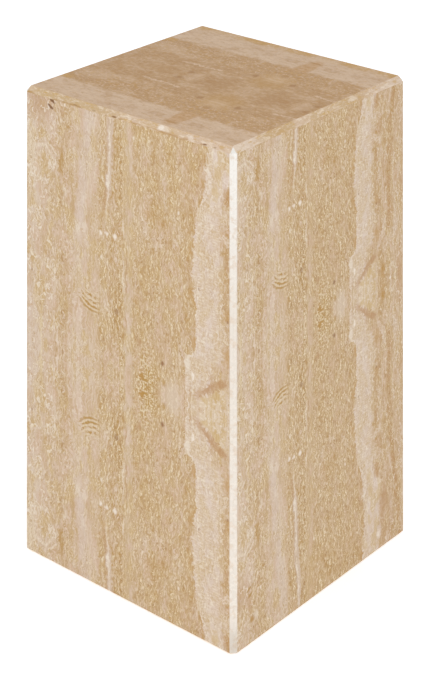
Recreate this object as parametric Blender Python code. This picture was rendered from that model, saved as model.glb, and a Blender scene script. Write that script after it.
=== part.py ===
"""Travertine pillar: four upright slabs and a top slab, mitred together round a hollow inside.

The pillar stands on the lower edges of its upright slabs. The origin is the middle of its
underside, +Z points up, and the four sides face along X and Y.
"""

from math import pi

import bpy
import bmesh
from mathutils import Matrix, Vector
from mathutils.geometry import normal as plane_normal

# Driving dimensions, in metres
WIDTH = 0.355             # across the outer faces, the same both ways
HEIGHT = 0.600            # from the floor to the top face
SLAB_THICKNESS = 0.020
CORNER_BEVEL = 0.006      # each leg of the bevel down an upright corner
TOP_BEVEL = 0.007         # each leg of the bevel round the top face
GLUE_LINE = 0.0003        # width of the joint between two slabs

HALF = WIDTH / 2
ON_PLANE = 1e-6           # points this close to a saw plane count as lying on it

# The slab that faces -Y comes first, and each next one is a quarter turn further round
UPRIGHT_SLABS = ("front_slab", "right_slab", "back_slab", "left_slab")

# Travertine, honed: linear colour and roughness
STONE_COLOUR = (0.61, 0.45, 0.285, 1.0)
STONE_ROUGHNESS = 0.45


def clear_scene():
    for item in list(bpy.data.objects):
        bpy.data.objects.remove(item)


def travertine(name):
    """The pillar's stone: pale warm beige with a low sheen."""
    stone = bpy.data.materials.new(name)
    stone.use_nodes = True
    shader = stone.node_tree.nodes["Principled BSDF"]
    shader.inputs["Base Color"].default_value = STONE_COLOUR
    shader.inputs["Roughness"].default_value = STONE_ROUGHNESS
    shader.inputs["Metallic"].default_value = 0.0
    stone.diffuse_color = STONE_COLOUR
    return stone


def saw(solid, point, outward):
    """Saw the solid along a plane, drop what lies on its outward side and close the cut."""
    whole = solid.verts[:] + solid.edges[:] + solid.faces[:]
    sawn = bmesh.ops.bisect_plane(
        solid, geom=whole, dist=ON_PLANE, plane_co=point, plane_no=outward, clear_outer=True)
    rim = [part for part in sawn["geom_cut"] if isinstance(part, bmesh.types.BMEdge)]
    bmesh.ops.contextual_create(solid, geom=rim)


def quarter_turn(count):
    return Matrix.Rotation(count * pi / 2, 3, "Z")


def bevelled_block():
    """The pillar's outer form: a square block, bevelled down its corners and round its top.

    Where three bevels meet at a corner of the top, a small three-sided facet takes off the tip.
    """
    block = bmesh.new()
    bmesh.ops.create_cube(block, size=1.0)
    bmesh.ops.scale(block, vec=(WIDTH, WIDTH, HEIGHT), verts=block.verts)
    bmesh.ops.translate(block, vec=(0, 0, HEIGHT / 2), verts=block.verts)

    facet = (
        Vector((HALF - TOP_BEVEL, TOP_BEVEL - HALF, HEIGHT)),
        Vector((HALF - CORNER_BEVEL, -HALF, HEIGHT - TOP_BEVEL)),
        Vector((HALF, CORNER_BEVEL - HALF, HEIGHT - TOP_BEVEL)),
    )
    facet_outward = plane_normal(*facet)
    if facet_outward.z < 0:
        facet_outward.negate()

    for side in range(4):
        turn = quarter_turn(side)
        saw(block, turn @ Vector((HALF - CORNER_BEVEL, -HALF, 0)), turn @ Vector((1, -1, 0)))
        saw(block, turn @ Vector((0, -HALF, HEIGHT - TOP_BEVEL)), turn @ Vector((0, -1, 1)))
    for side in range(4):
        turn = quarter_turn(side)
        saw(block, turn @ facet[0], turn @ facet_outward)
    return block


def saw_mitre(slab, point, outward):
    """Saw a 45 degree joint face, set back by half the glue line."""
    outward = Vector(outward).normalized()
    saw(slab, Vector(point) - outward * GLUE_LINE / 2, outward)


def add_slab(name, slab):
    """Keep a finished slab under its name, in its stone."""
    bmesh.ops.remove_doubles(slab, verts=slab.verts, dist=ON_PLANE)
    bmesh.ops.recalc_face_normals(slab, faces=slab.faces)
    mesh = bpy.data.meshes.new(name)
    slab.to_mesh(mesh)
    slab.free()
    mesh.materials.append(travertine(f"{name}_travertine"))
    piece = bpy.data.objects.new(name, mesh)
    bpy.context.scene.collection.objects.link(piece)
    return piece


def upright_slab(name, side):
    """An upright slab: it faces -Y while it is sawn, and is then turned to its own side."""
    slab = bevelled_block()
    saw(slab, Vector((0, SLAB_THICKNESS - HALF, 0)), Vector((0, 1, 0)))
    saw_mitre(slab, (0, 0, 0), (1, 1, 0))
    saw_mitre(slab, (0, 0, 0), (-1, 1, 0))
    saw_mitre(slab, (0, -HALF, HEIGHT), (0, 1, 1))
    bmesh.ops.rotate(slab, cent=(0, 0, 0), matrix=quarter_turn(side), verts=slab.verts)
    return add_slab(name, slab)


def top_slab():
    """The top slab, with a mitre on each of its four edges."""
    slab = bevelled_block()
    saw(slab, Vector((0, 0, HEIGHT - SLAB_THICKNESS)), Vector((0, 0, -1)))
    for side in range(4):
        turn = quarter_turn(side)
        saw_mitre(slab, turn @ Vector((0, -HALF, HEIGHT)), turn @ Vector((0, -1, -1)))
    return add_slab("top_slab", slab)


def main():
    clear_scene()
    for side, name in enumerate(UPRIGHT_SLABS):
        upright_slab(name, side)
    top_slab()


main()
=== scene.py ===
"""Looks of the travertine pillar: five honed slabs with their veining, on a pale studio floor."""

import math
from functools import partial

import bpy
from mathutils import Matrix, Vector


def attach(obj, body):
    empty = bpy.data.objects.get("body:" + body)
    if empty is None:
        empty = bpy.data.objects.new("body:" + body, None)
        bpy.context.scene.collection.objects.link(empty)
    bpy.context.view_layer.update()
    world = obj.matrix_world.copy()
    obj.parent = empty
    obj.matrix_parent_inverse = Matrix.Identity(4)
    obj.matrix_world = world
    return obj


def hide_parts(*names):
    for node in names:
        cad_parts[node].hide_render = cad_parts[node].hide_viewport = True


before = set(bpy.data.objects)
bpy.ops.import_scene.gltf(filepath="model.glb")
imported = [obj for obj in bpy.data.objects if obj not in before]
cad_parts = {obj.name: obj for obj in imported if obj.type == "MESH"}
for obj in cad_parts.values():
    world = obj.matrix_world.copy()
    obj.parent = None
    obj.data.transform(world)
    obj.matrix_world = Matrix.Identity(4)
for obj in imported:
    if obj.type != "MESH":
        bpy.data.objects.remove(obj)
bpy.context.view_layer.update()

# The pillar, in metres
WIDTH = 0.355
HEIGHT = 0.600
SLAB_THICKNESS = 0.020
CORNER_BEVEL = 0.006
TOP_BEVEL = 0.007
ARRIS = 0.0005            # rounding of every outer edge
UNDERCUT_HEIGHT = 0.0014  # the lower edges are eased, so that they don't chip on the floor
UNDERCUT_DEPTH = 0.0040
RESIN_GAP = 0.00004       # what is left open of each joint once its resin is flush
HALF = WIDTH / 2
UPRIGHT_SLABS = ("front_slab", "right_slab", "back_slab", "left_slab")

# The photograph: its height and, in its pixels, the focal length and the height of the horizon
PHOTO_HEIGHT = 686
FOCAL = 1954.9
HORIZON = -554.5
CAMERA_PLACE = Vector((1.65428, -1.95284, 1.43091))
CAMERA_AZIMUTH = math.radians(40.318)
SENSOR = 36.0             # millimetres along the picture's height

# The plain white floor, which glows a little
FLOOR_GLOW = 0.44
FLOOR_WHITE = (0.90, 0.915, 0.945, 1.0)
FLOOR_SIZE = 60.0
FLOOR_ROUGHNESS = 0.8

# Light: the strength of the white sky, and each lamp's place, target, size and power
SKY_STRENGTH = 0.73
KEY_LAMP = ((1.10, -1.60, 1.9), (0, 0, 0.3), (1.6, 1.6), 11.0)
GLINT_LAMP = ((0.70, -0.62, 0.004), (0.70, -0.62, 1.0), (1.3, 0.4), 4.6)
GLINT_TURN = math.radians(-40)

# The stone is described in millimetres: across its layers, along them, and in from the face
MM = 1000.0
NEAR_REACH = 330.0        # how far across the layers the near layers are described
FAR_REACH = 140.0         # and the layers beyond the edge of the pale band
EDGE_REACH = 700.0        # how far along the layers that edge is described

# The pattern is the same above and below these levels, in millimetres above the floor
FRONT_MIRROR = 275.0
RIGHT_MIRROR = 344.6
# How the pattern is scaled and shifted on the other sides, across the layers and along them
RIGHT_SCALE = (1.136, 1.11)
RIGHT_SHIFT = 17.5
BACK_SCALE = (0.95, 0.9)
BACK_SHIFT = (24.0, 60.0)
LEFT_SHIFT = (48.0, 660.0)

# What the white surroundings add to every tone by reflection, which the stone's own tones lack
SHEEN = 0.045

# Tones of the stone as they look in the photograph, from 0 to 255, the lightest first
BRIGHT = (238, 226, 212)
WHITISH = (233, 220, 202)
# Also the tone of the painted highlight on the fine grain's strokes
SOFT_CREAM = (230, 214, 184)
CREAM = (229, 213, 178)
ROSE = (222, 205, 194)
CHALKY = (222, 206, 190)
PALE = (221, 203, 184)
LILAC = (217, 199, 185)
SHELL = (216, 196, 177)
PINKISH = (214, 187, 166)
BLUSH = (211, 187, 164)
PALE_STRAW = (211, 186, 149)
SAND = (209, 184, 156)
BEIGE = (207, 181, 149)
STRAW = (206, 177, 128)
BISCUIT = (205, 178, 144)
OAT = (202, 176, 142)
FAWN = (200, 171, 136)
TAN = (198, 168, 130)
STAIN = (195, 164, 138)
DUN = (195, 164, 124)
WARM = (192, 154, 104)
AMBER = (190, 151, 98)
# The tone of the painted shade on the fine grain's strokes
PAINTED_SHADE_BROWN = (190, 158, 118)
RUSTY = (186, 146, 104)
GOLDEN = (182, 145, 90)
OCHRE = (182, 143, 80)
DEEP_AMBER = (182, 138, 88)
HONEY = (181, 137, 68)
VOID_BROWN = (172, 133, 84)
VOID_FAWN = (160, 122, 84)
BROWN = (150, 110, 74)
VOID_DARK = (134, 98, 68)

# Of the four uprights in turn: how warm they are, and the tone of their slanting voids
WARMTH = (0.0, 0.28, 0.12, 0.06)
VOID_TONES = (VOID_DARK, GOLDEN, VOID_FAWN, VOID_FAWN)

# Tone of the layers, by millimetres across them
NEAR_LAYERS = (
    (0, LILAC), (26, SHELL), (60, BLUSH), (107, BLUSH), (128, SAND), (137, BEIGE), (150, BEIGE),
    (158, BISCUIT), (176, BISCUIT), (179, OAT), (190, OAT), (195, FAWN), (203, BISCUIT),
    (211, TAN), (219, BISCUIT), (230, DUN), (243, BISCUIT), (256, TAN), (268, BISCUIT),
    (284, TAN), (330, FAWN),
)
# Tone of the layers, by millimetres beyond the edge of the pale band
FAR_LAYERS = (
    (0, BRIGHT), (3.0, PALE), (40, SHELL), (50, SAND), (59, SAND), (64, BLUSH), (74, BLUSH),
    (79, FAWN), (87, TAN), (92, BLUSH), (112, SAND), (140, SHELL),
)
# How strongly ochre shows, from 0 to 1, by millimetres across the layers
OCHRE_SHARE = (
    (0, 0.18), (30, 0.30), (56, 0.38), (62, 0.62), (72, 0.62), (90, 0.30), (106, 0.14),
    (131, 0.16), (138, 0.75), (148, 0.42), (157, 1.0), (175, 1.0), (180, 0.12), (190, 0.14),
    (195, 0.68), (218, 0.68), (226, 0.95), (240, 0.72), (300, 0.68), (330, 0.68),
)
FAR_OCHRE_SHARE = (
    (0, 0.05), (36, 0.08), (50, 0.46), (60, 0.46), (66, 0.25), (75, 0.60), (90, 0.65),
    (97, 0.28), (140, 0.25),
)
# How strongly pale curls show, likewise
CURL_SHARE = (
    (0, 0.85), (56, 0.75), (66, 0.50), (106, 0.40), (131, 0.35), (138, 0.40), (157, 0.30),
    (175, 0.30), (180, 0.10), (190, 0.10), (195, 0.24), (330, 0.24),
)
# How strong the fine grain and its painted light and shade are, likewise
GRAIN_SHARE = (
    (0, 0.45), (56, 0.50), (66, 0.70), (106, 0.35), (131, 0.40), (138, 0.80), (157, 1.0),
    (175, 1.0), (180, 0.45), (190, 0.45), (195, 0.90), (290, 0.90), (310, 0.50), (330, 0.50),
)
# The edge of the pale band: its place across the layers, by millimetres along them
EDGE_FROM = 270.0
EDGE_SPAN = 50.0
BAND_EDGE = (
    (0, 281), (44, 278), (59, 283), (89, 298), (118, 296), (164, 290), (195, 292), (237, 298),
    (254, 308), (324, 314), (400, 308), (460, 296), (520, 290), (600, 300), (700, 306),
)

# Patches: place across and along, radius, how many times as long, tone and strength
STAINS = (
    (12.0, 252.0, 13.0, 2.2, WHITISH, 0.55), (10.0, 20.0, 14.0, 3.0, LILAC, 0.60),
    (30.0, 312.0, 24.0, 0.9, STAIN, 0.75), (55.0, 322.0, 16.0, 0.7, PINKISH, 0.50),
    (60.0, 295.0, 10.0, 0.8, LILAC, 0.45), (99.0, 166.0, 4.5, 1.8, WHITISH, 0.65),
    (221.0, 214.0, 7.0, 1.3, AMBER, 0.50), (199.0, 102.0, 4.0, 1.5, AMBER, 0.55),
    (199.0, 282.0, 5.0, 1.2, AMBER, 0.45), (240.0, 207.0, 4.5, 1.6, AMBER, 0.45),
    (226.0, 262.0, 4.0, 1.8, AMBER, 0.40), (168.0, 238.0, 4.0, 2.2, AMBER, 0.50),
    (252.0, 150.0, 3.5, 1.6, AMBER, 0.40), (196.0, 182.0, 3.5, 1.8, AMBER, 0.40),
    (215.0, 350.0, 50.0, 0.8, STRAW, 0.35),
)
GRAINS = (
    (138.5, 170.0, 2.9, 1.0, BRIGHT, 0.85), (149.5, 171.0, 2.4, 1.0, BRIGHT, 0.75),
    (161.5, 171.0, 3.1, 1.0, BRIGHT, 0.85), (139.0, 140.0, 2.2, 1.2, WHITISH, 0.70),
    (56.5, 350.0, 3.4, 1.3, HONEY, 0.85), (66.0, 347.0, 5.0, 1.2, WHITISH, 0.55),
    (165.5, 78.0, 3.0, 1.3, BROWN, 0.50),
)
KNOT_SPOTS = (
    (208.8, 11.0, 3.0, 1.4, HONEY, 0.85), (257.0, 0.0, 13.0, 1.6, PALE, 0.60),
    (244.0, 15.0, 2.8, 1.2, OCHRE, 0.75), (241.0, 37.0, 2.5, 1.2, BROWN, 0.90),
    (204.0, 52.0, 3.0, 1.5, RUSTY, 0.60),
)
FAR_SPOTS = (
    (281.0, 50.0, 5.0, 1.7, WHITISH, 0.60), (290.5, 37.0, 3.0, 1.4, BRIGHT, 0.85),
    (344.5, 76.0, 6.0, 1.7, AMBER, 0.60), (344.5, 124.0, 5.0, 1.2, AMBER, 0.50),
    (361.0, 10.0, 6.0, 4.2, AMBER, 0.45), (362.0, 19.0, 4.0, 1.9, HONEY, 0.75),
    (378.0, 0.0, 2.8, 1.0, BRIGHT, 0.85), (405.0, 0.0, 9.0, 1.3, RUSTY, 0.60),
    (362.0, 318.0, 8.0, 3.0, RUSTY, 0.60), (352.0, 360.0, 4.0, 1.4, BRIGHT, 0.60),
)
# Lines along the layers: place across, width, start, end, tone and strength
LINES = (
    (164.0, 15.0, 215.0, 330.0, OCHRE, 0.10), (67.0, 6.0, 225.0, 262.0, OCHRE, 0.60),
    (90.0, 5.0, 180.0, 200.0, OCHRE, 0.50), (51.5, 5.0, 305.0, 345.0, RUSTY, 0.45),
)
BROKEN_LINES = (
    (62.0, 3.0, -9.0, 65.0, WHITISH, 0.50), (32.0, 3.0, -9.0, 36.0, CREAM, 0.55),
    (176.5, 2.2, 110.0, 215.0, WHITISH, 0.60), (181.5, 2.0, 62.0, 150.0, RUSTY, 0.60),
)
# Round lumps: place across, place along and radius
LUMPS = (
    (35.0, 236.0, 19.0), (20.0, 160.0, 12.0), (51.0, 187.0, 5.5), (79.0, 155.0, 5.0),
    (46.0, 98.0, 13.0), (14.0, 206.0, 9.0), (60.0, 268.0, 8.0), (24.0, 68.0, 10.0),
)
# Voids: place across, place along, length and width
VOIDS = ((53.0, 316.5, 6.2, 2.3), (49.5, 308.5, 5.8, 2.5))
SWIRL = (117.5, 79.0, 14.0)
# The vein and the strip beside it lean across the layers by these shares of the way along
VEIN_LEAN = 0.063
VEIN_START = 135.2
STRIP_LEAN = 0.13
STRIP_LEVEL = 210.0

# The top slab, by millimetres across its layers from their middle line
TOP_REACH = 200.0
TOP_MIDDLE = (59.2, -8.9)
TOP_BEIGE = (180, 146, 109)
TOP_PALE = (200, 174, 148)
TOP_SAND = (194, 164, 130)
TOP_FAWN = (189, 156, 115)
TOP_LAYERS = (
    (0, TOP_BEIGE), (108, TOP_BEIGE), (114, TOP_PALE), (160, TOP_PALE), (168, TOP_SAND),
    (200, TOP_FAWN),
)
TOP_LIGHT = (210, 186, 162)
TOP_OCHRE = (190, 151, 92)
TOP_GAP = (184, 147, 107)
TOP_BROWN = (172, 136, 99)
TOP_DARK = (158, 118, 78)
TOP_CLOUDS = ((0.0, 50.0, 24.0, 1.0, TOP_BROWN, 0.40), (50.0, 0.0, 26.0, 1.0, TOP_OCHRE, 0.30))
TOP_SPOTS = (
    (56.0, 31.0, 6.5, 0.7, TOP_DARK, 0.65), (62.0, 0.0, 15.0, 1.1, TOP_LIGHT, 0.24),
    (81.0, 0.0, 6.0, 1.0, TOP_DARK, 0.36), (0.0, 88.0, 13.0, 0.6, TOP_LIGHT, 0.32),
    (14.0, 104.0, 4.4, 1.2, TOP_DARK, 0.45), (74.0, 203.0, 17.0, 1.5, TOP_LIGHT, 0.28),
    (104.0, 224.0, 6.0, 2.0, TOP_OCHRE, 0.70),
)
# Two thin pale lines: place across, width and strength
TOP_LINES = ((41.5, 1.9, 0.75), (44.0, 1.0, 0.35))
# Of the light that falls on a side, the share that falls on the top, and what it mirrors
TOP_SHARE = 0.77
TOP_SHEEN = 0.062

BEVEL_PALE = (232, 216, 196)
BEVEL_STRAW = (200, 164, 104)
BEVEL_BROWN = (170, 128, 76)
BEVEL_WHITE = (245, 236, 224)
BEVEL_DARK = (138, 100, 62)

# Tone of the bevels down the corners, by millimetres above the floor. The pale tone is partly a
# painted highlight, and the white towards the top is a painted highlight.
CHALK = (221, 211, 198)
WHITE_PAINTED_HIGHLIGHT = (240, 236, 229)
CORNER_TONES_WITH_HIGHLIGHT = ((0, CHALK), (400, CHALK), (600, WHITE_PAINTED_HIGHLIGHT))

# Tones of the bevel round the top, by millimetres along X and along Y
BEVEL_REACH = 355.0
BEVEL_ALONG_X = (
    (0, SAND), (28, OAT), (134, OAT), (178, SAND), (193, BLUSH), (208, SAND), (223, BEIGE),
    (238, BLUSH), (253, BEIGE), (283, BLUSH), (355, BLUSH),
)
BEVEL_ALONG_Y = (
    (0, PALE), (43, SHELL), (64, OAT), (88, TAN), (118, OAT), (124, BLUSH), (148, SAND),
    (163, OAT), (207, SAND), (213, OAT), (253, FAWN), (284, BLUSH), (355, SHELL),
)
# Spots on the front's bevel: place, depth below the top, half length, half height and strength
DARK_SPOTS = (
    (92.5, 5.8, 3.0, 0.6, 0.5), (125.0, 5.8, 3.0, 0.6, 0.4), (160.0, 5.8, 4.0, 0.8, 0.8),
    (309.0, 5.8, 3.0, 0.8, 0.8), (325.0, 6.0, 2.0, 0.7, 0.5),
)
WHITE_SPOTS = (
    (236.0, 2.8, 4.5, 2.4, 0.60), (184.0, 3.2, 3.0, 1.6, 0.3), (285.0, 3.4, 4.0, 1.8, 0.3),
)
# Of the light that falls on a side, the share that falls on that bevel, and what it mirrors
BEVEL_SHARE = 0.865
BEVEL_SHEEN = 0.052

# Finishes: the range of the roughness, and the strength of the relief
HONED = ((0.32, 0.58), 0.35)
HONED_TOP = ((0.35, 0.60), 0.25)
GROUND_CORNER = ((0.18, 0.34), 0.05)
GROUND_TOP_EDGE = ((0.30, 0.50), 0.20)
SAWN = ((0.70, 0.85), 0.30)
RELIEF_DEPTH = 0.0005     # metres

# How closely a surface faces a direction, to count as a corner bevel, a face or the top's bevel
CORNER_LIKENESS = 0.75
FACE_LIKENESS = 0.92
BEVEL_RISE = 0.25
BEVEL_LIKENESS = 0.2

TINY = 1e-6               # metres


# Camera

def photo_camera():
    """A camera with upright picture plane, as a view camera with its front lowered.

    The picture's sides stay parallel to the pillar, while the camera looks down on it.
    """
    right = Vector((math.cos(CAMERA_AZIMUTH), math.sin(CAMERA_AZIMUTH), 0.0))
    level = Vector((-math.sin(CAMERA_AZIMUTH), math.cos(CAMERA_AZIMUTH), 0.0))
    up = Vector((0.0, 0.0, 1.0))
    aim = level - up * (PHOTO_HEIGHT / 2 - HORIZON) / FOCAL
    reach = aim.length

    lens = bpy.data.cameras.new("camera")
    lens.sensor_width = SENSOR
    lens.lens = FOCAL * reach / PHOTO_HEIGHT * SENSOR
    camera = bpy.data.objects.new("camera", lens)
    rig = bpy.data.objects.new("camera_rig", None)
    for item in (camera, rig):
        bpy.context.scene.collection.objects.link(item)

    axes = Matrix((right, up, -aim / reach)).transposed().to_4x4()
    camera.parent = rig
    camera.matrix_parent_inverse = Matrix.Translation(CAMERA_PLACE) @ axes
    bpy.context.scene.camera = camera


# Studio

def area_light(name, place, target, size, power):
    light = bpy.data.lights.new(name, "AREA")
    light.shape = "RECTANGLE"
    light.size, light.size_y = size
    light.energy = power
    holder = bpy.data.objects.new(name, light)
    bpy.context.scene.collection.objects.link(holder)
    holder.location = place
    aim = Vector(target) - Vector(place)
    holder.rotation_euler = aim.to_track_quat("-Z", "Y").to_euler()
    holder.visible_camera = False
    return holder


def studio():
    world = bpy.data.worlds.new("studio")
    bpy.context.scene.world = world
    world.use_nodes = True
    sky = world.node_tree.nodes["Background"]
    sky.inputs["Color"].default_value = (1.0, 1.0, 1.0, 1.0)
    sky.inputs["Strength"].default_value = SKY_STRENGTH
    area_light("key", *KEY_LAMP)
    glint = area_light("glint", *GLINT_LAMP)
    glint.rotation_euler.z = GLINT_TURN
    glint.visible_diffuse = False
    bpy.context.scene.view_settings.view_transform = "Standard"
    bpy.context.scene.view_settings.look = "None"


def studio_floor():
    bpy.ops.object.select_all(action="DESELECT")
    bpy.ops.mesh.primitive_plane_add(size=FLOOR_SIZE, location=(0, 0, 0))
    floor = bpy.context.object
    floor.name = "floor"
    paper = bpy.data.materials.new("white_floor")
    paper.use_nodes = True
    shader = paper.node_tree.nodes["Principled BSDF"]
    shader.inputs["Roughness"].default_value = FLOOR_ROUGHNESS
    shader.inputs["Emission Color"].default_value = (1.0, 1.0, 1.0, 1.0)
    shader.inputs["Base Color"].default_value = FLOOR_WHITE
    shader.inputs["Emission Strength"].default_value = FLOOR_GLOW
    floor.data.materials.append(paper)


# Shader arithmetic

class Wire:
    """A value inside a material. Arithmetic on it adds the nodes that work it out."""

    def __init__(self, tree, socket):
        self.tree = tree
        self.socket = socket

    def math(self, operation, *others):
        node = self.tree.nodes.new("ShaderNodeMath")
        node.operation = operation
        for socket, value in zip(node.inputs, (self, *others)):
            feed(self.tree, socket, value)
        return Wire(self.tree, node.outputs[0])

    def __add__(self, other):
        return self.math("ADD", other)

    def __sub__(self, other):
        return self.math("SUBTRACT", other)

    def __rsub__(self, other):
        return self * -1.0 + other

    def __mul__(self, other):
        return self.math("MULTIPLY", other)

    def __truediv__(self, other):
        return self.math("DIVIDE", other)

    def __abs__(self):
        return self.math("ABSOLUTE")

    __radd__ = __add__
    __rmul__ = __mul__


def feed(tree, socket, value):
    if isinstance(value, Wire):
        tree.links.new(value.socket, socket)
    else:
        socket.default_value = value


def rise(value, start, end):
    """A smooth step: 0 up to start and 1 from end on, also where end is the smaller."""
    node = value.tree.nodes.new("ShaderNodeMapRange")
    node.interpolation_type = "SMOOTHSTEP"
    feed(value.tree, node.inputs[0], value)
    limits = (start, end, 0.0, 1.0) if start < end else (end, start, 1.0, 0.0)
    for socket, limit in zip(node.inputs[1:5], limits):
        socket.default_value = limit
    return Wire(value.tree, node.outputs[0])


def between(value, low, high, soft):
    return rise(value, low - soft, low + soft) * rise(value, high + soft, high - soft)


def spot(dx, dy, radius, soft=0.4):
    """A round patch with a soft edge, by the distances from its middle."""
    distance = (dx * dx + dy * dy).math("SQRT")
    return rise(distance, radius * (1 + soft), radius * (1 - soft))


def place(across, along, depth):
    node = across.tree.nodes.new("ShaderNodeCombineXYZ")
    for socket, value in zip(node.inputs, (across, along, depth)):
        feed(across.tree, socket, value)
    return Wire(across.tree, node.outputs[0])


def noise(bed, size, stretch=1.0, detail=2.0, roughness=0.5, twist=0.0, shift=0.0):
    """Cloudy noise from 0 to 1. Its lumps are about size wide, and stretch times as long."""
    across, along, depth = bed
    node = across.tree.nodes.new("ShaderNodeTexNoise")
    feed(across.tree, node.inputs["Vector"], place(across, along * (1 / stretch), depth + shift))
    node.inputs["Scale"].default_value = 1.0 / size
    node.inputs["Detail"].default_value = detail
    node.inputs["Roughness"].default_value = roughness
    node.inputs["Distortion"].default_value = twist
    return Wire(across.tree, node.outputs[0])


def cells(bed, size, stretch, feature, shift=0.0):
    """Cells about size wide: the distance inside one, in sizes, and a random number for each."""
    across, along, depth = bed
    tree = across.tree
    node = tree.nodes.new("ShaderNodeTexVoronoi")
    node.feature = feature
    feed(tree, node.inputs["Vector"], place(across, along * (1 / stretch), depth + shift))
    node.inputs["Scale"].default_value = 1.0 / size
    if feature == "DISTANCE_TO_EDGE":
        return Wire(tree, node.outputs["Distance"]), None
    split = tree.nodes.new("ShaderNodeSeparateColor")
    tree.links.new(node.outputs["Color"], split.inputs[0])
    return Wire(tree, node.outputs["Distance"]), Wire(tree, split.outputs[0])


def graph(value, points, reach):
    """A curve through (value, result) points. Values go from 0 to reach, results from 0 to 1."""
    node = value.tree.nodes.new("ShaderNodeFloatCurve")
    feed(value.tree, node.inputs["Value"], value * (1 / reach))
    node.mapping.extend = "HORIZONTAL"
    curve = node.mapping.curves[0].points
    while len(curve) < len(points):
        curve.new(0.5, 0.5)
    for point, (at, result) in zip(curve, points):
        point.location = (at / reach, result)
        point.handle_type = "AUTO_CLAMPED"
    node.mapping.update()
    return Wire(value.tree, node.outputs[0])


def to_linear(value):
    share = value / 255
    return share / 12.92 if share <= 0.04045 else ((share + 0.055) / 1.055) ** 2.4


def to_tone(share):
    return 255 * (share * 12.92 if share <= 0.0031308 else 1.055 * share ** (1 / 2.4) - 0.055)


def linear(tone):
    """The stone's own linear colour, for the tone that it is to show on a side."""
    return (*(max(to_linear(value) - SHEEN, 0.0) for value in tone), 1.0)


def on_top(tone):
    """The tone of a stone on a side, that shows the given tone where it lies on the top."""
    return tuple(to_tone((to_linear(value) - TOP_SHEEN) / TOP_SHARE + SHEEN) for value in tone)


def on_bevel(tone):
    """The same for the bevel round the top."""
    return tuple(to_tone((to_linear(value) - BEVEL_SHEEN) / BEVEL_SHARE + SHEEN)
                 for value in tone)


def layers(value, stops, reach):
    """Tones side by side along a value that runs from 0 to reach."""
    node = value.tree.nodes.new("ShaderNodeValToRGB")
    feed(value.tree, node.inputs[0], value * (1 / reach))
    steps = node.color_ramp.elements
    while len(steps) < len(stops):
        steps.new(0.5)
    for step, (at, tone) in zip(steps, stops):
        step.position = at / reach
        step.color = linear(tone)
    return Wire(value.tree, node.outputs[0])


def tinted(base, share, tone):
    """The base colour, with a tone laid over it by the share."""
    node = base.tree.nodes.new("ShaderNodeMix")
    node.data_type = "RGBA"
    feed(base.tree, node.inputs[0], share)
    feed(base.tree, node.inputs[6], base)
    feed(base.tree, node.inputs[7], tone if isinstance(tone, Wire) else linear(tone))
    return Wire(base.tree, node.outputs[2])


def object_axes(tree):
    """The piece's own X, Y and Z, in millimetres."""
    source = tree.nodes.new("ShaderNodeTexCoord")
    split = tree.nodes.new("ShaderNodeSeparateXYZ")
    tree.links.new(source.outputs["Object"], split.inputs[0])
    return [Wire(tree, socket) * MM for socket in split.outputs]


# Travertine
# A bed is a place in the stone: millimetres across the layers, along them and into the face

def sagged(bed):
    """Layers that have sagged: waves of three lengths shift them sideways."""
    across, along, depth = bed
    slow = noise(bed, 60.0, stretch=2.5, detail=1.0)
    short = noise(bed, 12.0, stretch=1.8, detail=1.0, shift=40.0)
    ragged = noise(bed, 3.4, stretch=1.2, detail=1.0, shift=80.0)
    shifted = across + (slow - 0.5) * 8.0 + (short - 0.5) * 7.0 + (ragged - 0.5) * 6.0
    return shifted, along, depth


def curled_up(bed, amount=1.0):
    """Beds bent round small lumps, so that what is drawn on them runs in curls."""
    across, along, depth = bed
    sideways = (noise(bed, 9.0, stretch=1.5, detail=1.0, shift=11.0) - 0.5) * amount
    lengthways = (noise(bed, 9.0, stretch=1.5, detail=1.0, shift=23.0) - 0.5) * amount
    return across + sideways * 10.0, along + lengthways * 18.0, depth


def ruffled(bed):
    """Beds ruffled on a small scale, so that what is drawn on them gets a ragged outline."""
    across, along, depth = bed
    sideways = noise(bed, 4.5, detail=2.0, shift=33.0)
    lengthways = noise(bed, 4.5, detail=2.0, shift=37.0)
    return across + (sideways - 0.5) * 9.0, along + (lengthways - 0.5) * 12.0, depth


def stirred(bed):
    """Where the stone is busy with flecks and straw-coloured, 1, or calm and pinkish, 0."""
    return noise(bed, 19.0, stretch=2.1, detail=3.0, roughness=0.62, shift=130.0)


def clouded(colour, bed, strength=1.0):
    """Slow changes between pinkish and straw, and between pale and tan."""
    hue = stirred(bed)
    colour = tinted(colour, rise(hue, 0.50, 0.41) * strength * 0.80, PINKISH)
    colour = tinted(colour, rise(hue, 0.51, 0.60) * strength * 0.80, STRAW)
    clouds = noise(bed, 18.0, stretch=2.4, detail=4.0, roughness=0.62, shift=170.0)
    colour = tinted(colour, rise(clouds, 0.51, 0.62) * strength * 0.44, TAN)
    return tinted(colour, rise(clouds, 0.49, 0.38) * strength * 0.46, PALE)


def streaked(colour, bed, strength=1.0):
    """Thin streaks along the layers, which start and stop."""
    streaks = noise(bed, 3.6, stretch=16.0, detail=2.0, roughness=0.6, shift=210.0)
    colour = tinted(colour, rise(streaks, 0.53, 0.66) * 0.36 * strength, TAN)
    return tinted(colour, rise(streaks, 0.47, 0.34) * 0.36 * strength, PALE)


def meshed(colour, bed, share):
    """A mesh of ochre round pale grains, drawn out along the layers."""
    bent = curled_up(bed)
    edge, _ = cells(bent, 2.9, 3.4, "DISTANCE_TO_EDGE")
    broken = rise(noise(bed, 6.5, stretch=1.8, detail=2.0, shift=250.0), 0.34, 0.60)
    colour = tinted(colour, rise(edge, 0.16, 0.07) * broken * share * 0.78, OCHRE)
    _, lot = cells(bent, 2.9, 3.4, "F1")
    grain = rise(edge, 0.16, 0.26) * rise(lot, 0.62, 0.66)
    return tinted(colour, grain * share * 0.40, CREAM)


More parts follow.
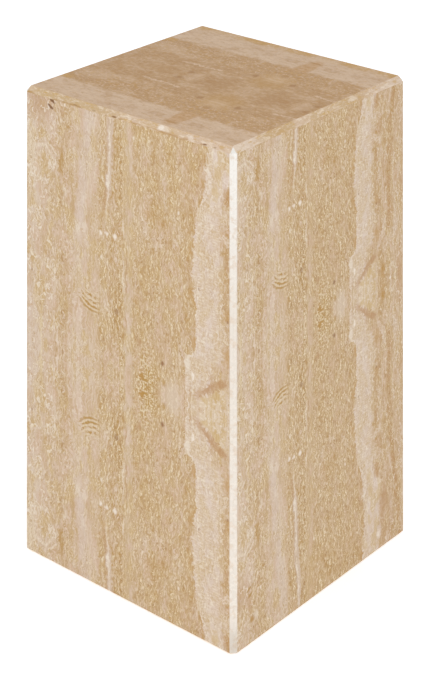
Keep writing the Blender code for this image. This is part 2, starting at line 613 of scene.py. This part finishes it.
def painted_relief_shading(bed, size, stretch, shift):
    """Painted light and shade of small ridges along the layers: above 0 on the flank painted in
    shade, below 0 on the flank painted lit.
    """
    across, along, depth = bed
    beside = (across + size * 0.28, along + size * 0.12, depth)
    return (noise(bed, size, stretch, detail=2.0, roughness=0.6, twist=0.5, shift=shift)
            - noise(beside, size, stretch, detail=2.0, roughness=0.6, twist=0.5, shift=shift))


def flecked(colour, bed, share):
    """Squiggles along the layers, golden brown beside cream."""
    swell = noise(curled_up(bed, 0.35), 3.2, stretch=4.0, detail=1.0, roughness=0.5, shift=470.0)
    colour = tinted(colour, between(swell, 0.38, 0.470, 0.02) * share * 0.84, GOLDEN)
    return tinted(colour, between(swell, 0.55, 0.615, 0.02) * share * 0.50, SOFT_CREAM)


def blotched(colour, bed, share):
    """Amber stains a few millimetres wide."""
    stains = noise(bed, 6.0, stretch=2.0, detail=2.0, roughness=0.55, twist=0.6, shift=290.0)
    return tinted(colour, rise(stains, 0.54, 0.65) * share * 0.50, AMBER)


def curled(colour, bed, share):
    """Curls a centimetre across, pale on one side and ochre on the other."""
    swell = noise(curled_up(bed), 8.5, stretch=1.5, detail=1.0, shift=330.0)
    here = rise(noise(bed, 16.0, stretch=1.8, detail=1.0, shift=370.0), 0.42, 0.54)
    colour = tinted(colour, between(swell, 0.520, 0.575, 0.014) * here * share * 0.95, WHITISH)
    return tinted(colour, between(swell, 0.440, 0.490, 0.014) * here * share * 0.55, AMBER)


def grain_with_painted_relief(colour, bed, strength=1.0):
    """The fine grain: short strokes along the layers, each with painted shade on one side and a
    painted highlight on the other.
    """
    ridges = painted_relief_shading(curled_up(bed, 0.5), 2.7, 3.6, 410.0)
    # Painted shade on one flank of each stroke, then a painted highlight on the other
    colour = tinted(colour, rise(ridges, 0.02, 0.08) * 0.92 * strength, PAINTED_SHADE_BROWN)
    return tinted(colour, rise(ridges, -0.04, -0.11) * 0.80 * strength, SOFT_CREAM)


def pitted(colour, bed, share):
    """Short dark strokes along the layers, where voids a millimetre wide have been filled."""
    strokes = noise(bed, 1.9, stretch=3.4, detail=1.0, twist=0.4, shift=430.0)
    here = rise(noise(bed, 12.0, stretch=2.0, detail=2.0, shift=440.0), 0.40, 0.60)
    return tinted(colour, rise(strokes, 0.60, 0.66) * here * share * 0.85, VOID_BROWN)


def specked(colour, bed):
    """Scattered small filled voids, dark or white."""
    distance, lot = cells(bed, 15.0, 1.5, "F1", shift=450.0)
    dark = rise(distance, 0.11, 0.06) * rise(lot, 0.07, 0.06)
    white = rise(distance, 0.13, 0.08) * rise(lot, 0.86, 0.87)
    colour = tinted(colour, dark * 0.60, BROWN)
    return tinted(colour, white * 0.75, WHITISH)


def ringed(colour, bed, share):
    """Round lumps built of thin rings, cut through: some at random in the flecked layers."""
    distance, lot = cells(bed, 34.0, 1.4, "F1", shift=830.0)
    rings = rise((distance * 62.0).math("SINE"), 0.1, 0.9)
    there = rise(distance, 0.42, 0.30) * rise(lot, 0.60, 0.62)
    colour = tinted(colour, rings * there * share * 0.75, WHITISH)
    return tinted(colour, (1.0 - rings) * there * share * 0.30, STRAW)


def lump(colour, bed, middle_across, middle_along, radius):
    """One such lump at a given place, with a whitish rim on the side away from the edge."""
    across, along, _ = bed
    dx = across - middle_across
    dy = (along - middle_along) * 0.85
    distance = (dx * dx + dy * dy).math("SQRT")
    colour = tinted(colour, rise(distance, radius * 0.7, radius * 0.4) * 0.30, STRAW)
    rim = between(distance, radius * 0.80, radius, 0.9) + between(
        distance, radius * 0.45, radius * 0.58, 0.8) * 0.7
    return tinted(colour, rim * rise(dx + dy, -radius * 0.9, radius * 0.2) * 0.65, WHITISH)


def feathered(colour, bed, share):
    """Strokes across the layers, where crystals grew out from the edge of the pale band."""
    strokes = noise(bed, 6.0, stretch=0.28, detail=3.0, roughness=0.65, twist=0.5, shift=490.0)
    colour = tinted(colour, rise(strokes, 0.51, 0.60) * share * 0.85, SAND)
    colour = tinted(colour, rise(strokes, 0.48, 0.38) * share * 0.85, WHITISH)
    stains = noise(bed, 14.0, stretch=1.8, detail=3.0, roughness=0.6, shift=530.0)
    colour = tinted(colour, rise(stains, 0.53, 0.64) * share * 0.55, PALE_STRAW)
    return tinted(colour, rise(stains, 0.49, 0.37) * share * 0.70, ROSE)


def break_up(colour, bed, beyond):
    """The end of the pale band, where it breaks up into straw and white."""
    torn = rise(noise(bed, 13.0, stretch=2.0, detail=3.0, roughness=0.6, shift=880.0), 0.42, 0.56)
    ending = rise(bed[1], 228.0, 262.0) * rise(beyond, 6.0, 12.0) * rise(beyond, 50.0, 40.0)
    colour = tinted(colour, ending * torn * 0.85, PALE_STRAW)
    return tinted(colour, ending * (1.0 - torn) * 0.45, ROSE)


def line(colour, bed, middle, width, start, end, tone, strength):
    """A line along the layers, between two places along them."""
    across, along, _ = bed
    there = rise(abs(across - middle), width * 0.8, width * 0.3)
    return tinted(colour, there * between(along, start, end, 8.0) * strength, tone)


def vein(colour, bed):
    """The white vein, which leans across the layers and dies out halfway along."""
    broken = rise(noise(bed, 5.0, stretch=4.0, shift=570.0), 0.38, 0.58)
    middle = bed[1] * VEIN_LEAN + VEIN_START
    colour = line(colour, bed, middle - 3.0, 3.4, 185.0, 360.0, RUSTY, 0.45)
    colour = line(colour, bed, middle + 1.0, 7.5, 222.0, 380.0, LILAC, broken * 0.30 + 0.35)
    return line(colour, bed, middle, 2.7, 186.0, 380.0, WHITISH, broken * 0.60 + 0.25)


def leaning_strip(colour, bed):
    """A pale strip beside the vein, with a whitish line along it."""
    across, along, depth = bed
    leaning = across - (along - STRIP_LEVEL) * STRIP_LEAN
    strip = between(leaning, 98.0, 113.0, 2.5) * rise(along, 135.0, 190.0)
    colour = tinted(colour, strip * 0.65, LILAC)
    return line(colour, (leaning, along, depth), 115.0, 2.2, 165.0, 330.0, WHITISH, 0.35)


def swirl(colour, bed, middle_across, middle_along, radius):
    """A patch of curved ochre stripes across the layers, like a thumb print."""
    across, along, _ = bed
    dx = across - middle_across
    dy = along - middle_along
    wander = noise(bed, 9.0, detail=2.0, shift=590.0) * 5.0 - 2.5
    fan = dy + dx * 0.30 - dx * dx * 0.016 + wander
    stripes = (fan * 1.05).math("SINE")
    torn = rise(noise(bed, 5.0, detail=2.0, shift=600.0) - dy * 0.012, 0.38, 0.52)
    there = spot(dx * 0.85 + dy * 0.25, dy, radius, 0.35)
    colour = tinted(colour, rise(stripes, 0.0, 0.55) * there * torn * 0.95, OCHRE)
    return tinted(colour, rise(stripes, -0.30, -0.80) * there * 0.40, CREAM)


def patch(colour, bed, middle_across, middle_along, radius, stretch, tone, strength):
    """A soft patch of one tone, longer along the layers by the stretch."""
    across, along, _ = bed
    there = spot(across - middle_across, (along - middle_along) * (1 / stretch), radius, 0.6)
    return tinted(colour, there * strength, tone)


def patched(colour, bed, patches):
    for row in patches:
        colour = patch(colour, bed, *row)
    return colour


def void(colour, bed, middle_across, middle_along, length, width, tone):
    """A slanting void, filled and honed."""
    across, along, _ = bed
    dx = across - middle_across
    dy = along - middle_along
    there = spot((dx - dy * 0.6) * (1 / length), (dx * 0.6 + dy) * (1 / width), 1.0, 0.35)
    return tinted(colour, there * 0.95, tone)


def knot(colour, bed):
    """The knot on the middle line: cream grains among ochre, then a pale round lump."""
    across, along, _ = bed
    inside = spot(across - 214.0, along * 0.35, 19.0, 0.5)
    grains = noise(bed, 2.5, stretch=1.3, detail=1.0, roughness=0.6, shift=610.0)
    colour = tinted(colour, rise(grains, 0.53, 0.62) * inside * 0.75, CREAM)
    colour = tinted(colour, rise(grains, 0.46, 0.38) * inside * 0.75, OCHRE)
    stripe = between(across, 205.0, 224.0, 3.0) * rise(along, 24.0, 12.0)
    colour = tinted(colour, stripe * rise(grains, 0.54, 0.44) * 0.75, OCHRE)
    return patched(colour, bed, KNOT_SPOTS)


def strokes(colour, bed):
    """Brown strokes from the middle line into the pale band, and blotches beyond them."""
    bed = ruffled(bed)
    across, along, _ = bed
    torn = rise(noise(bed, 6.0, stretch=1.4, detail=3.0, roughness=0.65, shift=650.0), 0.40, 0.58)
    wander = noise(bed, 13.0, detail=2.0, shift=660.0) * 10.0 - 5.0
    run = (across - 297.0).math("MAXIMUM", 0.0).math("POWER", 0.72) * 1.85 + 13.0 + wander
    stroke = rise(abs(along - run), 7.0, 2.0) * between(across, 295.0, 345.0, 6.0)
    inside = rise(along - run, 0.0, -9.0) * between(across, 302.0, 345.0, 9.0)
    colour = tinted(colour, inside * torn * 0.60, STRAW)
    colour = tinted(colour, inside * (1.0 - torn) * 0.35, WHITISH)
    colour = tinted(colour, stroke * (torn * 0.35 + 0.5), RUSTY)
    colour = line(colour, bed, 287.0, 1.6, -20.0, 30.0, RUSTY, 0.60)
    colour = line(colour, bed, 303.0, 4.0, -20.0, 12.0, RUSTY, torn * 0.55)
    return patched(colour, bed, FAR_SPOTS)


def brown_layers(colour, bed, beyond):
    """The thin layers beyond the pale band: brown and whitish ones, and an amber one."""
    across, along, depth = bed
    wander = noise(bed, 18.0, stretch=2.2, detail=3.0, shift=790.0) * 12.0 - 6.0
    thin = noise((beyond + wander, along, depth), 5.5, stretch=12.0, detail=2.0, roughness=0.6,
                 shift=810.0)
    zone = rise(beyond, 40.0, 50.0)
    colour = tinted(colour, rise(thin, 0.51, 0.62) * zone * 0.60, RUSTY)
    colour = tinted(colour, rise(thin, 0.47, 0.36) * zone * 0.55, CHALKY)
    torn = rise(noise(bed, 9.0, stretch=2.6, detail=3.0, roughness=0.6, shift=820.0), 0.40, 0.56)
    colour = patch(colour, bed, 349.0, 262.0, 9.0, 1.8, DEEP_AMBER, torn * 0.85)
    colour = patch(colour, bed, 346.0, 196.0, 7.0, 2.2, RUSTY, torn * 0.70)
    colour = patch(colour, bed, 349.0, 120.0, 7.0, 1.5, RUSTY, torn * 0.80)
    colour = patch(colour, bed, 376.0, 345.0, 26.0, 1.7, RUSTY, torn * 0.30 + 0.22)
    colour = patch(colour, bed, 368.0, 333.0, 5.0, 1.4, WHITISH, (1.0 - torn) * 0.80)
    lean = (along - 200.0).math("MAXIMUM", 0.0) * 0.17
    strong = between(across + wander * 0.4 - lean, 372.5, 381.0, 1.8) * (torn * 0.30 + 0.65)
    return tinted(colour, strong * rise(along, 58.0, 80.0), DEEP_AMBER)


def past_edge(bed):
    """Millimetres past the ragged edge of the pale band, and below 0 before it."""
    across, along, _ = bed
    points = [(at, (to - EDGE_FROM) / EDGE_SPAN) for at, to in BAND_EDGE]
    teeth = noise(bed, 4.6, stretch=0.8, detail=3.0, roughness=0.65, shift=850.0) * 15.0 - 7.5
    return across - graph(along, points, EDGE_REACH) * EDGE_SPAN - EDGE_FROM + teeth


def warmed(colour, across, beyond, past, warmth):
    """A warmer slab: warmer in its middle and far layers, and whiter at its edge."""
    colour = tinted(colour, rise(across, 62.0, 30.0) * warmth * 0.5, WHITISH)
    middle = between(across, 128.0, 345.0, 12.0) * (1.0 - past * 0.6)
    colour = tinted(colour, middle * warmth, WARM)
    return tinted(colour, rise(beyond, 44.0, 52.0) * warmth, WARM)


def fringed(colour, bed, beyond):
    """Amber stains along the edge of the pale band."""
    fringe = between(beyond, -8.0, -1.0, 2.0) * rise(bed[1], 50.0, 70.0)
    frayed = rise(noise(bed, 10.0, stretch=3.0, detail=2.0, shift=870.0), 0.47, 0.60)
    return tinted(colour, fringe * frayed * 0.75, AMBER)


def marked(colour, bed, void_tone):
    """The marks that lie at known places, over the flecks."""
    colour = vein(colour, bed)
    broken = rise(noise(bed, 6.0, stretch=5.0, shift=860.0), 0.40, 0.60)
    for middle, width, start, end, tone, strength in BROKEN_LINES:
        colour = line(colour, bed, middle, width, start, end, tone, broken * strength)
    for row in LINES:
        colour = line(colour, bed, *row)
    colour = swirl(colour, bed, *SWIRL)
    colour = patched(colour, bed, GRAINS)
    for row in VOIDS:
        colour = void(colour, bed, *row, void_tone)
    colour = knot(colour, bed)
    return strokes(colour, bed)


def plate_colour(bed, warmth, void_tone):
    """Colour of the plates that the upright slabs are cut from."""
    plain = bed
    bed = sagged(bed)
    across = bed[0]
    beyond = past_edge(bed)
    past = rise(beyond, -0.7, 0.7)
    in_band = past * rise(beyond, 50.0, 36.0)
    colour = tinted(layers(across, NEAR_LAYERS, NEAR_REACH), past,
                    layers(beyond, FAR_LAYERS, FAR_REACH))
    colour = clouded(colour, bed, 1.0 - in_band * 0.60)
    colour = streaked(colour, bed)
    colour = warmed(colour, across, beyond, past, warmth)
    colour = feathered(colour, bed, in_band)
    colour = break_up(colour, bed, beyond)
    colour = leaning_strip(colour, bed)
    colour = patched(colour, bed, STAINS)

    ochre = (graph(across, OCHRE_SHARE, NEAR_REACH) * (1.0 - past)
             + graph(beyond, FAR_OCHRE_SHARE, FAR_REACH) * past) * (1.0 + warmth)
    curls = graph(across, CURL_SHARE, NEAR_REACH) * (1.0 - past) + past * 0.55
    colour = ringed(colour, bed, curls * rise(across, 176.0, 150.0))
    for row in LUMPS:
        colour = lump(colour, bed, *row)
    patchy = noise(bed, 26.0, stretch=2.2, detail=2.0, shift=690.0) * 2.4 - 0.2
    colour = blotched(colour, bed, ochre * patchy)
    colour = brown_layers(colour, bed, beyond)
    colour = meshed(colour, bed, ochre * patchy)
    busy = rise(stirred(bed), 0.42, 0.58)
    colour = flecked(colour, bed, ochre * ochre * (busy * 0.70 + 0.45) + 0.04)
    colour = curled(colour, bed, curls)
    grain = (busy * 0.45 + graph(across, GRAIN_SHARE, NEAR_REACH) * 0.60) * (1.0 + warmth)
    # The fine grain's strokes, each painted lit on one flank and shaded on the other
    colour = grain_with_painted_relief(colour, bed, grain * (1.0 - in_band * 0.45))
    colour = pitted(colour, bed, ochre * 0.8 + 0.2)
    colour = fringed(colour, bed, beyond)
    colour = marked(colour, bed, void_tone)
    return specked(colour, plain)


def top_patched(colour, bed, patches):
    for *where, tone, strength in patches:
        colour = patch(colour, bed, *where, on_top(tone), strength)
    return colour


def top_grain(colour, bed, hue):
    """The top's streaks, flecks and soft relief."""
    across = bed[0]
    light, brown, ochre = (on_top(tone) for tone in (TOP_LIGHT, TOP_BROWN, TOP_OCHRE))
    streaks = noise(bed, 2.8, stretch=6.0, detail=2.0, roughness=0.6, shift=50.0)
    colour = tinted(colour, rise(streaks, 0.52, 0.66) * 0.38, brown)
    colour = tinted(colour, rise(streaks, 0.48, 0.34) * 0.32, light)
    flecks = noise(bed, 2.8, stretch=1.6, detail=2.0, roughness=0.65, twist=0.5, shift=90.0)
    share = between(across, 60.0, 110.0, 12.0) * 0.6 + rise(across, 160.0, 172.0) * 0.5 + 0.35
    colour = tinted(colour, rise(flecks, 0.53, 0.64) * share * 0.65, ochre)
    colour = tinted(colour, rise(flecks, 0.47, 0.36) * share * 0.60, light)
    relief = noise(bed, 7.0, stretch=1.3, detail=3.0, roughness=0.6, twist=0.8, shift=120.0)
    colour = tinted(colour, rise(relief, 0.56, 0.66) * 0.30, brown)
    return tinted(colour, rise(across, 160.0, 172.0) * rise(hue, 0.44, 0.56) * 0.6, ochre)


def top_colour(bed):
    """Colour of the top slab: browner, with a pale band on each side of the middle zone."""
    bed = sagged(bed)
    across, along, _ = bed
    colour = layers(across, [(at, on_top(tone)) for at, tone in TOP_LAYERS], TOP_REACH)
    gap = rise(along + (across - 113.0) * 0.16, 17.0, 11.0)
    colour = tinted(colour, between(across, 106.0, 155.0, 8.0) * gap * 0.90, on_top(TOP_GAP))
    hue = noise(bed, 26.0, stretch=1.8, detail=4.0, roughness=0.6)
    colour = tinted(colour, rise(hue, 0.50, 0.66) * 0.40, on_top(TOP_BROWN))
    colour = tinted(colour, rise(hue, 0.50, 0.36) * 0.34, on_top(TOP_LIGHT))
    colour = top_grain(colour, bed, hue)
    colour = top_patched(colour, bed, TOP_CLOUDS)
    jagged = noise(bed, 5.0, detail=2.0, shift=140.0) * 8.0 - 4.0
    for middle, width, strength in TOP_LINES:
        there = rise(abs(across + jagged - middle), width, width * 0.4)
        share = there * between(along, 77.0, 144.0, 4.0) * strength
        colour = tinted(colour, share, on_top(TOP_LIGHT))
    return top_patched(colour, ruffled(bed), TOP_SPOTS)


def bevel_base(x, y, front):
    """The tones that run along the bevel, by place along the front and along the sides."""
    by_x = layers(x + HALF * MM, [(at, on_bevel(tone)) for at, tone in BEVEL_ALONG_X], BEVEL_REACH)
    by_y = layers(y + HALF * MM, [(at, on_bevel(tone)) for at, tone in BEVEL_ALONG_Y], BEVEL_REACH)
    return tinted(by_y, front, by_x)


def bevel_spots(colour, x, z, front):
    """Small dark and white spots on the front's bevel."""
    for spots, tone in ((DARK_SPOTS, BEVEL_DARK), (WHITE_SPOTS, BEVEL_WHITE)):
        for middle, below, length, height, strength in spots:
            dx = (x + HALF * MM - middle) * (1 / length)
            dz = (z - HEIGHT * MM + below) * (1 / height)
            colour = tinted(colour, spot(dx, dz, 1.0) * front * strength, on_bevel(tone))
    return colour


def bevel_colour(bed):
    """Colour of the bevel round the top, where thin streaks run along the bevel."""
    x, y, z = bed
    front = rise(abs(y) - abs(x), -0.1, 0.1)
    colour = bevel_base(x, y, front)
    pale, straw, brown = (on_bevel(tone) for tone in (BEVEL_PALE, BEVEL_STRAW, BEVEL_BROWN))
    bed = (z * 1.4, x * front + y * (1.0 - front), z)
    stains = noise(bed, 5.0, stretch=3.6, detail=3.0, roughness=0.65, twist=0.4)
    colour = tinted(colour, rise(stains, 0.54, 0.66) * 0.60, straw)
    colour = tinted(colour, rise(stains, 0.47, 0.35) * 0.60, pale)
    grit = noise(bed, 2.2, stretch=2.0, detail=2.0, roughness=0.65, twist=0.5, shift=60.0)
    colour = tinted(colour, rise(grit, 0.55, 0.66) * 0.40, straw)
    colour = tinted(colour, rise(grit, 0.46, 0.35) * 0.50, pale)
    lower_edge = rise(z, HEIGHT * MM - 4.6, HEIGHT * MM - 6.4)
    torn = rise(noise(bed, 9.0, stretch=2.4, detail=3.0, roughness=0.6, shift=90.0), 0.50, 0.58)
    colour = tinted(colour, lower_edge * torn * front * 0.55, brown)
    return bevel_spots(colour, x, z, front)


def corner_colour(bed):
    """Colour of the bevels down the corners: pale, with a painted highlight that whitens towards
    the top.
    """
    colour = layers(bed[0], CORNER_TONES_WITH_HIGHLIGHT, HEIGHT * MM)
    clouds = noise(bed, 9.0, detail=3.0, roughness=0.6)
    return tinted(colour, rise(clouds, 0.50, 0.66) * 0.45, SAND)


def sawn_colour(bed):
    """Colour where the slabs are sawn and not honed, with the marks of the saw."""
    sunk = sagged(bed)
    colour = layers(sunk[0], NEAR_LAYERS, NEAR_REACH)
    colour = clouded(colour, sunk)
    colour = streaked(colour, sunk)
    marks = noise(bed, 1.1, stretch=60.0, detail=1.0, shift=900.0)
    colour = tinted(colour, rise(marks, 0.50, 0.70) * 0.40, TAN)
    return specked(colour, bed)


def stone(name, colour_of, axes_to_bed, roughness, relief):
    """A travertine: its colour, a roughness that varies within a range, and a slight relief."""
    material = bpy.data.materials.new(name)
    material.use_nodes = True
    tree = material.node_tree
    shader = tree.nodes["Principled BSDF"]
    bed = axes_to_bed(*object_axes(tree))
    feed(tree, shader.inputs["Base Color"], colour_of(bed))
    low, high = roughness
    patchy = rise(noise(bed, 5.0, stretch=1.6, detail=3.0, shift=730.0), 0.3, 0.7)
    feed(tree, shader.inputs["Roughness"], patchy * (high - low) + low)
    bump = tree.nodes.new("ShaderNodeBump")
    bump.inputs["Strength"].default_value = relief
    bump.inputs["Distance"].default_value = RELIEF_DEPTH
    feed(tree, bump.inputs["Height"], noise(bed, 2.2, stretch=2.0, detail=3.0, shift=770.0))
    tree.links.new(bump.outputs["Normal"], shader.inputs["Normal"])
    return material


def front_bed(x, y, z):
    return x + HALF * MM, abs(z - FRONT_MIRROR), y + HALF * MM


def right_bed(x, y, z):
    across = (y + HALF * MM) * RIGHT_SCALE[0] + RIGHT_SHIFT
    return across, abs(z - RIGHT_MIRROR) * RIGHT_SCALE[1], HALF * MM - x


def back_bed(x, y, z):
    across = (HALF * MM - x) * BACK_SCALE[0] + BACK_SHIFT[0]
    return across, z * BACK_SCALE[1] + BACK_SHIFT[1], HALF * MM - y


def left_bed(x, y, z):
    return y + HALF * MM + LEFT_SHIFT[0], LEFT_SHIFT[1] - z, x + HALF * MM


def top_bed(x, y, z):
    return abs(y - TOP_MIDDLE[1]), abs(x - TOP_MIDDLE[0]), HEIGHT * MM - z


def corner_bed(x, y, z):
    return z, x, y


def bevel_bed(x, y, z):
    return x, y, z


# Slabs

CORNER = Vector((1, -1, 0)).normalized()


def saw(plane_point, outward):
    """In edit mode, saw the whole mesh along a plane, drop the outward side and close the cut."""
    bpy.ops.mesh.select_all(action="SELECT")
    bpy.ops.mesh.bisect(
        plane_co=plane_point, plane_no=outward, use_fill=True, clear_outer=True, threshold=TINY)


def quarter_turn(count):
    return Matrix.Rotation(count * math.pi / 2, 3, "Z")


def ease_lower_edge(point, outward):
    slope = outward * UNDERCUT_HEIGHT - Vector((0, 0, UNDERCUT_DEPTH))
    saw(point + Vector((0, 0, UNDERCUT_HEIGHT)), slope)


def bevelled_block():
    """The pillar's outer form, with a small round on each of its edges."""
    bpy.ops.object.select_all(action="DESELECT")
    bpy.ops.mesh.primitive_cube_add(
        size=1.0, location=(0, 0, HEIGHT / 2), scale=(WIDTH, WIDTH, HEIGHT))
    block = bpy.context.object
    bpy.ops.object.transform_apply(location=True, rotation=True, scale=True)
    bpy.ops.object.mode_set(mode="EDIT")
    for side in range(4):
        turn = quarter_turn(side)
        saw(turn @ Vector((HALF - CORNER_BEVEL, -HALF, 0)), turn @ Vector((1, -1, 0)))
        saw(turn @ Vector((0, -HALF, HEIGHT - TOP_BEVEL)), turn @ Vector((0, -1, 1)))
    tip = Vector((HALF - TOP_BEVEL, TOP_BEVEL - HALF, HEIGHT))
    left = Vector((HALF - CORNER_BEVEL, -HALF, HEIGHT - TOP_BEVEL))
    right = Vector((HALF, CORNER_BEVEL - HALF, HEIGHT - TOP_BEVEL))
    facet = (left - tip).cross(right - tip).normalized()
    for side in range(4):
        turn = quarter_turn(side)
        saw(turn @ tip, turn @ facet)
        ease_lower_edge(turn @ Vector((0, -HALF, 0)), turn @ Vector((0, -1, 0)))
        ease_lower_edge(turn @ Vector((HALF - CORNER_BEVEL, -HALF, 0)),
                        turn @ Vector((1, -1, 0)).normalized())
    bpy.ops.mesh.select_all(action="SELECT")
    bpy.ops.mesh.bevel(offset=ARRIS, segments=2, affect="EDGES")
    bpy.ops.mesh.remove_doubles(threshold=TINY)
    bpy.ops.object.mode_set(mode="OBJECT")
    return block


def copy_of(block, name):
    slab = block.copy()
    slab.data = block.data.copy()
    slab.name = name
    slab.data.name = name
    bpy.context.scene.collection.objects.link(slab)
    bpy.ops.object.select_all(action="DESELECT")
    bpy.context.view_layer.objects.active = slab
    slab.select_set(True)
    return slab


def saw_mitre(point, outward):
    outward = Vector(outward).normalized()
    saw(Vector(point) - outward * RESIN_GAP / 2, outward)


def upright_slab(block, name, side):
    slab = copy_of(block, name)
    turn = quarter_turn(side)
    bpy.ops.object.mode_set(mode="EDIT")
    saw(turn @ Vector((0, SLAB_THICKNESS - HALF, 0)), turn @ Vector((0, 1, 0)))
    saw_mitre((0, 0, 0), turn @ Vector((1, 1, 0)))
    saw_mitre((0, 0, 0), turn @ Vector((-1, 1, 0)))
    saw_mitre(turn @ Vector((0, -HALF, HEIGHT)), turn @ Vector((0, 1, 1)))
    bpy.ops.object.mode_set(mode="OBJECT")
    return slab


def top_slab(block):
    slab = copy_of(block, "top_slab_stone")
    bpy.ops.object.mode_set(mode="EDIT")
    saw(Vector((0, 0, HEIGHT - SLAB_THICKNESS)), Vector((0, 0, -1)))
    for side in range(4):
        turn = quarter_turn(side)
        saw_mitre(turn @ Vector((0, -HALF, HEIGHT)), turn @ Vector((0, -1, -1)))
    bpy.ops.object.mode_set(mode="OBJECT")
    return slab


def stand_for(slab, node):
    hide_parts(node)
    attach(slab, "root")


def which_stone(normal, outward):
    """The stone of a surface: 0 the face, 1 a corner bevel, 2 the bevel round the top, 3 sawn."""
    corner = max(normal.dot(quarter_turn(side) @ CORNER) for side in range(4))
    if corner > CORNER_LIKENESS:
        return 1
    if normal.dot(outward) > FACE_LIKENESS:
        return 0
    if normal.z > BEVEL_RISE and normal.dot(outward) > BEVEL_LIKENESS:
        return 2
    return 3


def lay_stone(slab, face, sawn, bevels, outward):
    for layer in (face, *bevels, sawn):
        slab.data.materials.append(layer)
    for part in slab.data.polygons:
        part.material_index = which_stone(part.normal, outward)


def pillar():
    block = bevelled_block()
    bevels = (stone("corner_bevel_travertine", corner_colour, corner_bed, *GROUND_CORNER),
              stone("top_bevel_travertine", bevel_colour, bevel_bed, *GROUND_TOP_EDGE))
    beds = (front_bed, right_bed, back_bed, left_bed)
    for side, (node, bed) in enumerate(zip(UPRIGHT_SLABS, beds)):
        slab = upright_slab(block, f"{node}_stone", side)
        look = partial(plate_colour, warmth=WARMTH[side], void_tone=VOID_TONES[side])
        face = stone(f"{node}_travertine", look, bed, *HONED)
        sawn = stone(f"{node}_sawn_travertine", sawn_colour, bed, *SAWN)
        lay_stone(slab, face, sawn, bevels, quarter_turn(side) @ Vector((0, -1, 0)))
        stand_for(slab, node)
    slab = top_slab(block)
    face = stone("top_slab_travertine", top_colour, top_bed, *HONED_TOP)
    sawn = stone("top_slab_sawn_travertine", sawn_colour, top_bed, *SAWN)
    lay_stone(slab, face, sawn, bevels, Vector((0, 0, 1)))
    stand_for(slab, "top_slab")
    bpy.data.objects.remove(block)


photo_camera()
studio()
studio_floor()
pillar()
